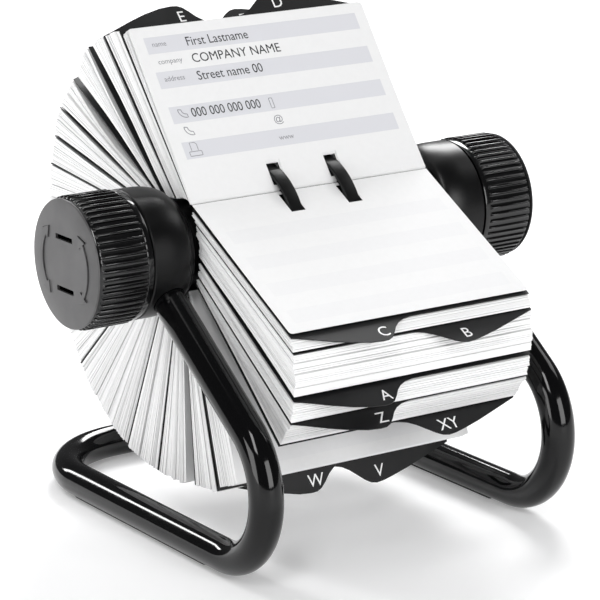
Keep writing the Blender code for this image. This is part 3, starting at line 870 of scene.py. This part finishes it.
def in_hook(x, along):
    """True where a card is punched: a narrow neck and a wide window for each ring."""
    for centre in (-RING_X, RING_X):
        aside = abs(x - centre)
        neck = along < HOOK_START and aside < HOOK_NECK
        if neck or (HOOK_START < along < HOOK_END and aside < HOOK_HALF_WIDTH):
            return True
    return False


class Leaves:
    """Gathers thin cards into one mesh: each is a closed slab with two punched hooks."""

    def __init__(self, rows, corner=0.0):
        """Lay a grid over the card that its hooks fit, with cut upper corners if given."""
        edge = CARD_WIDTH / 2
        columns = [centre + x for centre in (-RING_X, RING_X)
                   for x in (-HOOK_HALF_WIDTH, -HOOK_NECK, HOOK_NECK, HOOK_HALF_WIDTH)]
        rows = list(rows)
        if corner:
            columns = [-edge + corner] + columns + [edge - corner]
            rows.insert(-1, rows[-1] - corner)
        columns = [-edge] + columns + [edge]
        self.grid = [(x, along) for along in rows for x in columns]
        pull = corner * (1 - sqrt(0.5))
        self.grid[-len(columns)] = (-edge + pull, rows[-1] - pull)
        self.grid[-1] = (edge - pull, rows[-1] - pull)
        self.cells = []
        width = len(columns)
        for row in range(len(rows) - 1):
            for column in range(width - 1):
                x = (columns[column] + columns[column + 1]) / 2
                if not in_hook(x, (rows[row] + rows[row + 1]) / 2):
                    here = row * width + column
                    self.cells.append((here, here + 1, here + width + 1, here + width))
        edges = set()
        for cell in self.cells:
            edges.update(zip(cell, cell[1:] + cell[:1]))
        self.border = sorted(pair for pair in edges if pair[::-1] not in edges)
        self.vertices = []
        self.faces = []
        self.kinds = []
        self.uv = []

    def add(self, low, high=None, bow=0.0, shift=0.0, stretch=0.0, bellies=(0.0, 0.0)):
        """One leaf between two places, or of a single card's thickness at one place. It may
        bow towards its upper edge, and each face may belly between its two edges."""
        base = len(self.vertices)
        count = len(self.grid)
        half = 0 if high else CARD_THICKNESS / 2
        for place, lift, belly in ((low, -half, bellies[0]), (high or low, half, bellies[1])):
            for x, along in self.grid:
                share = max(0.0, (along - HOOK_END) / (CARD_HEIGHT - HOOK_END))
                raised = lift + bow * (along / CARD_HEIGHT) ** 2 + belly * sin(pi * share)
                self.vertices.append(on_card(place, x + shift, along, raised))
                self.uv.append((x, along + stretch * (along / CARD_HEIGHT) ** 2))
        for a, b, c, d in self.cells:
            self.faces.append((base + a, base + b, base + c, base + d))
            self.faces.append(tuple(base + count + corner for corner in (d, c, b, a)))
            self.kinds += [0, 1]
        for a, b in self.border:
            self.faces.append((base + b, base + a, base + count + a, base + count + b))
            self.kinds.append(2)

    def finish(self, name, body, node):
        """Make the piece: printed, plain and cut faces, the cut ones in a lighter white that is
        painted light, without the unused grid points.
        """
        mesh = bpy.data.meshes.new(name)
        mesh.from_pydata(self.vertices, [], self.faces)
        for look in (CARD_FRONT, CARD_BACK, CARD_EDGE_PAINTED_LIGHT):
            mesh.materials.append(look)
        mesh.polygons.foreach_set("material_index", self.kinds)
        layer = mesh.uv_layers.new(name="card")
        corners = np.empty(len(mesh.loops), dtype=np.int32)
        mesh.loops.foreach_get("vertex_index", corners)
        layer.data.foreach_set("uv", np.asarray(self.uv, dtype=np.float32)[corners].ravel())
        shape = bmesh.new()
        shape.from_mesh(mesh)
        loose = [vertex for vertex in shape.verts if not vertex.link_faces]
        bmesh.ops.delete(shape, geom=loose, context="VERTS")
        bmesh.ops.recalc_face_normals(shape, faces=shape.faces)
        shape.to_mesh(mesh)
        shape.free()
        mesh_piece(name, mesh, body, node)


# Where a leaf has a row of points, from its lower edge to its upper one.
PLAIN_ROWS = (0.0, HOOK_START, HOOK_END, 0.022, 0.034, 0.047, 0.060, CARD_HEIGHT)
FINE_ROWS = (0.0, HOOK_START, HOOK_END, 0.020, 0.027, 0.034, 0.041, 0.048, 0.054, 0.060, 0.066,
             CARD_HEIGHT)


def uneven_steps(count):
    """A pack's cards in turn, each with the air before it, its own thickness, and how far
    it has slipped sideways and towards its foot. Cards lie and slip together in bunches."""
    steps = []
    left = dice.randint(3, 8)
    aside = slip = 0.0
    for _ in range(count):
        gap = dice.uniform(0.03, 0.12)
        left -= 1
        if not left:
            gap = dice.uniform(0.2, 0.9)
            left = dice.randint(2, 9)
            aside = dice.uniform(-0.0005, 0.0005)
            slip = dice.uniform(-0.0005, 0.0004)
        steps.append((gap, dice.uniform(0.7, 1.3), aside + dice.gauss(0, 0.00012),
                      slip + dice.uniform(-0.0002, 0.0002)))
    return steps


def add_packs():
    """Fan out the cards between each divider and the next."""
    for (letters, _, place), (_, _, following) in zip(REGISTER, REGISTER[1:]):
        if letters not in PACKS:
            continue
        count, before, after, belly_before, belly_after = PACKS[letters]
        end = LOOSE_END.get(letters, following)
        leaves = Leaves(PLAIN_ROWS)
        steps = uneven_steps(count)
        total = sum(gap + card for gap, card, _, _ in steps)
        reached = 0.0
        for gap, card, aside, slip in steps:
            start = (reached + gap) / total
            reached += gap + card
            stop = reached / total
            places = []
            bellies = []
            for share in (start, stop):
                within = before + (1 - before - after) * share
                angle, offset, edge = blend(place, end, within)
                inset = PACK_CLEARANCE * (1 - 2 * within)
                places.append((angle, offset + inset, edge + slip))
                bellies.append(belly_before * (1 - share) ** 2 - belly_after * share ** 2)
            leaves.add(*places, bow=dice.uniform(-0.0001, 0.0001), shift=aside, bellies=bellies)
        leaves.finish("loose_cards_" + letters, "card_wheel", "cards_" + letters)


# Tab outlines: share of the card's width from the left, share of the tab's height.
LEFT_TAB = (
    (1.0, 0), (0.490, 0), (0.455, 0.07), (0.428, 0.20), (0.405, 0.40), (0.385, 0.66),
    (0.365, 0.88), (0.345, 0.98), (0.320, 1.0), (0.270, 0.95), (0.200, 0.77),
    (0.130, 0.52), (0.060, 0.23), (0.0, 0),
)
RIGHT_TAB = (
    (1.0, 0), (0.960, 0.14), (0.900, 0.35), (0.810, 0.66), (0.740, 0.86), (0.700, 0.96),
    (0.668, 1.0), (0.645, 0.95), (0.620, 0.80), (0.590, 0.55), (0.560, 0.30),
    (0.530, 0.12), (0.500, 0.03), (0.480, 0), (0.0, 0),
)


def hook_slot(centre):
    """The outline of a ring's slot, from the divider's lower edge and back to it."""
    half = ((HOOK_NECK, 0), (HOOK_NECK, HOOK_START), (HOOK_HALF_WIDTH, HOOK_START),
            (HOOK_HALF_WIDTH, HOOK_END - HOOK_CORNER), (HOOK_HALF_WIDTH - HOOK_CORNER, HOOK_END))
    left = [(centre - x, along) for x, along in half]
    right = [(centre + x, along) for x, along in half[::-1]]
    return left + right


# An inner tab is a left one moved towards the middle of the divider.
INNER_SHIFT = 0.055
INNER_TAB = (LEFT_TAB[0], *((share + INNER_SHIFT, rise) for share, rise in LEFT_TAB[1:]),
             LEFT_TAB[-1])
# Each tab's outline, and the share of the width at which its letters are centred.
TABS = {"left": (LEFT_TAB, 0.345), "inner": (INNER_TAB, 0.400), "right": (RIGHT_TAB, 0.685)}
LETTER_SIZE = 0.0068
LETTER_FOOT = 0.0742          # the letters' foot on the front, from the divider's lower edge
LETTER_FOOT_BEHIND = 0.0794   # the same on the back, where they stand the other way up


def divider_outline(tab):
    """The divider's outline round its slots and its tab, as (x, along) points."""
    top = [(CARD_WIDTH * (share - 0.5), CARD_HEIGHT + TAB_HEIGHT * rise) for share, rise in tab]
    lower = [(-CARD_WIDTH / 2, 0)] + hook_slot(-RING_X) + hook_slot(RING_X) + [(CARD_WIDTH / 2, 0)]
    return lower + top


def add_dividers():
    """The lettered dividers, with their letters on both faces of the tab."""
    half = DIVIDER_THICKNESS / 2
    for letters, tab_side, place in REGISTER:
        tab, letters_at = TABS[tab_side]
        faces = [[on_card(place, x, along, lift) - AXLE for x, along in divider_outline(tab)]
                 for lift in (-half, half)]
        piece("leaf_" + letters, lofted(faces), "card_wheel", "divider_" + letters,
              DIVIDER)
        middle = CARD_WIDTH * (letters_at - 0.5)
        lettering = Lettering("tab_letters_" + letters, place, half)
        for along, facing in ((LETTER_FOOT, -1), (LETTER_FOOT_BEHIND, 1)):
            lettering.word(letters, middle, along, LETTER_SIZE, facing, centred=True)
        lettering.finish("card_wheel", WHITE_INK)


# --- print ----------------------------------------------------------------------------
def word_mesh(text, size, centred):
    """Flat letters with a hair's thickness, from Blender's own font."""
    curve = bpy.data.curves.new("word", "FONT")
    curve.body = text
    curve.size = size
    curve.align_x = "CENTER" if centred else "LEFT"
    curve.resolution_u = 3
    curve.extrude = 0.00001
    holder = as_object("word", curve)
    bpy.context.view_layer.update()
    sight = bpy.context.evaluated_depsgraph_get()
    mesh = bpy.data.meshes.new_from_object(holder.evaluated_get(sight))
    bpy.data.objects.remove(holder)
    return mesh


class Lettering:
    """Gathers flat marks that lie just proud of a card, which is twice half thick."""

    def __init__(self, name, place, half, bow=0.0):
        self.name = name
        self.place = place
        self.half = half
        self.bow = bow
        self.shape = bmesh.new()

    def point(self, x, along, lift):
        if self.bow:
            along -= PRINT_DROP * (along / CARD_HEIGHT) ** 2
        raised = lift + self.bow * (along / CARD_HEIGHT) ** 2
        return on_card(self.place, x, along, raised)

    def word(self, text, x, along, size, facing=-1, centred=False, squeeze=1.0):
        """Text on the card's front (facing -1) or, turned over, on its back (1)."""
        mesh = word_mesh(text, size, centred)
        start = len(self.shape.verts)
        self.shape.from_mesh(mesh)
        bpy.data.meshes.remove(mesh)
        self.shape.verts.ensure_lookup_table()
        for vertex in self.shape.verts[start:]:
            across, up, out = vertex.co
            lift = facing * (self.half + 0.00002 + out)
            vertex.co = self.point(x + across * squeeze, along - facing * up, lift)

    def stroke(self, points, width):
        """A pen line of flat quads through 2-D points on the card's front."""
        sections = []
        for i, here in enumerate(points):
            before = Vector(points[max(i - 1, 0)])
            after = Vector(points[min(i + 1, len(points) - 1)])
            along = (after - before).normalized()
            aside = Vector((-along.y, along.x)) * width / 2
            section = []
            for sign, rise in ((1, 0.00001), (-1, 0.00001), (-1, 0.00003), (1, 0.00003)):
                spot = Vector(here) + aside * sign
                section.append(self.point(spot.x, spot.y, -self.half - rise) - AXLE)
            sections.append(section)
        add_loft(self.shape, sections)

    def finish(self, body, look):
        piece(self.name, self.shape, body, None, look)


LABEL_SIZE = 0.0030
ENTRY_SIZE = 0.0054
PEN = 0.00028
# Printed rows: text, and how high its foot is over the card's lower edge.
LABELS = (("name", 0.0634), ("company", 0.0560), ("address", 0.0487))
# Entries: text, where it starts from the card's middle, its foot, and its narrowing.
ENTRIES = (
    ("First Lastname", -0.0302, 0.0623, 0.86), ("COMPANY NAME", -0.0302, 0.0551, 0.92),
    ("Street name 00", -0.0306, 0.0477, 0.86), ("000 000 000 000", -0.0386, 0.0331, 0.82),
)
PHONE_ROWS = (0.0345, 0.0272)


def add_form_print():
    """The printed words and signs of the form, and what is written in it."""
    half = CARD_THICKNESS / 2
    labels = Lettering("form_labels", CONTACT_CARD, half, CONTACT_BOW)
    for text, along in LABELS:
        labels.word(text, -0.0446, along, LABEL_SIZE, squeeze=0.95)
    labels.word("@", -0.0055, 0.0262, 0.0042)
    labels.word("www", -0.0060, 0.0190, LABEL_SIZE)
    for along in PHONE_ROWS:
        labels.stroke(handset(-0.0408, along + 0.0018), 0.00035)
    labels.stroke(box_sign(-0.0426, 0.0185, 0.0052, 0.0018), PEN)
    labels.stroke(sheet_sign(-0.0426, 0.0198), PEN)
    labels.stroke(box_sign(-0.0036, 0.0344, 0.0014, 0.0042), PEN)
    labels.finish("contact_card", GREY_INK)

    entries = Lettering("form_entries", CONTACT_CARD, half, CONTACT_BOW)
    for text, x, along, squeeze in ENTRIES:
        entries.word(text, x, along, ENTRY_SIZE, squeeze=squeeze)
    entries.finish("contact_card", DARK_INK)


def handset(x, along):
    """A telephone handset in outline: a bent bar round the given centre."""
    outer = [(0.0030, radians(170 + 110 * k / 8)) for k in range(9)]
    inner = [(0.0016, turn) for _, turn in outer[::-1]]
    points = [(x + radius * cos(turn), along + radius * sin(turn)) for radius, turn in outer + inner]
    return points + points[:1]


def box_sign(x, along, width, height):
    """A box with rounded corners round the given centre, as a closed pen line."""
    corners = [(x + j * width / 2, along + k * height / 2)
               for j, k in ((-1, -1), (1, -1), (1, 1), (-1, 1))]
    points = rounded(corners, 0.0003)
    return points + [(x - width / 2, along - height / 2 + 0.0004)]


def sheet_sign(x, along):
    """A sheet of paper with a turned corner, standing on the box."""
    return [(x - 0.0014, along), (x - 0.0014, along + 0.0032), (x + 0.0006, along + 0.0032),
            (x + 0.0014, along + 0.0024), (x + 0.0014, along)]


def add_open_cards():
    """The contact card, the card that faces it, and the leaves behind the contact card."""
    leaves = Leaves(FINE_ROWS[:-1] + (CONTACT_TOP,), CARD_CORNER)
    leaves.add(CONTACT_CARD, bow=CONTACT_BOW, stretch=PRINT_DROP)
    leaves.finish("contact_leaf", "contact_card", "contact_card")
    leaves = Leaves(FINE_ROWS, CARD_CORNER)
    leaves.add(FACING_CARD, bow=FACING_BOW)
    leaves.finish("facing_leaf", "card_wheel", "facing_card")
    leaves = Leaves(FINE_ROWS, CARD_CORNER)
    first_divider = REGISTER[0][2]
    for share, drop in LEAVES_BEHIND_CONTACT:
        angle, offset, edge = blend(CONTACT_CARD, first_divider, share)
        leaves.add((angle, offset, edge - drop), bow=CONTACT_BOW * (1 - share) * 0.8,
                   shift=dice.uniform(-0.0006, 0.0003), stretch=PRINT_DROP)
    leaves.finish("loose_cards_C", "card_wheel", "cards_C")


def finish_hidden_parts():
    """Put the steel, nylon and rubber on the CAD pieces that are not rebuilt."""
    looks = {"axle": STEEL}
    for name, _ in SIDES:
        looks[name + "_axle_bush"] = NYLON
        looks[name + "_knob_screw"] = STEEL
        looks[name + "_friction_washer"] = RUBBER
    for node, look in looks.items():
        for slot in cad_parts[node].material_slots:
            slot.material = look


add_camera()
add_studio()
add_floor()
add_frame()
add_glides()
for side_name, side_sign in SIDES:
    add_housing(side_name, side_sign)
    add_knob(side_name, side_sign)
    add_disc(side_name, side_sign)
    add_arrows(side_name, side_sign)
add_rings()
add_drum()
add_packs()
add_dividers()
add_open_cards()
add_form_print()
finish_hidden_parts()
